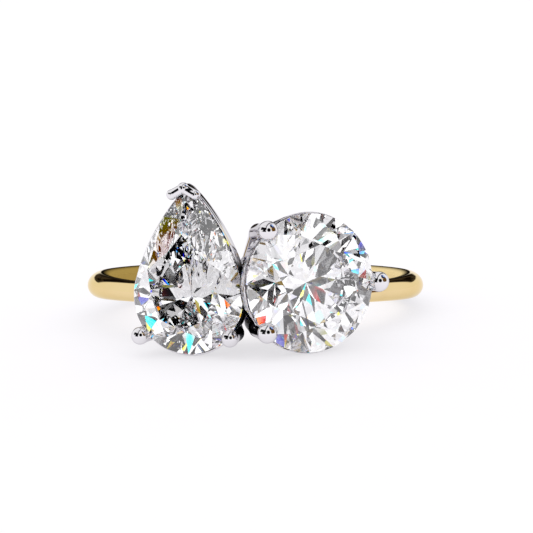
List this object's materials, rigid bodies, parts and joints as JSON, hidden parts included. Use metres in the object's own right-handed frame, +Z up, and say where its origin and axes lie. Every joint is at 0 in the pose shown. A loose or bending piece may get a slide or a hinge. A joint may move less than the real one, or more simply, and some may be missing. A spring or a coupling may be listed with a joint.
{
  "type": "toi et moi ring",
  "caption": "Toi et moi ring: a round and a pear-shaped faceted stone side by side in claw settings on a slim domed band, lying on its side.",
  "frame": {"origin": "centre of the finger hole, on its axis, at the middle of the band's width", "axes": "+Z up from the surface the ring rests on, -Y from the finger hole to the stones, +X to the right as seen from the stones' side; the finger hole's axis leans from +Z by the few degrees that the ring tips as it rests on its setting and the back of its band"},
  "size_m": [0.02, 0.0255, 0.0094],
  "materials": {
    "yellow_gold": "polished yellow gold",
    "white_gold": "polished white gold",
    "diamond": "colourless faceted diamond"
  },
  "bodies": {
    "root": {"band": "yellow_gold", "setting": "white_gold", "pear_stone": "diamond", "round_stone": "diamond"}
  },
  "joints": []
}
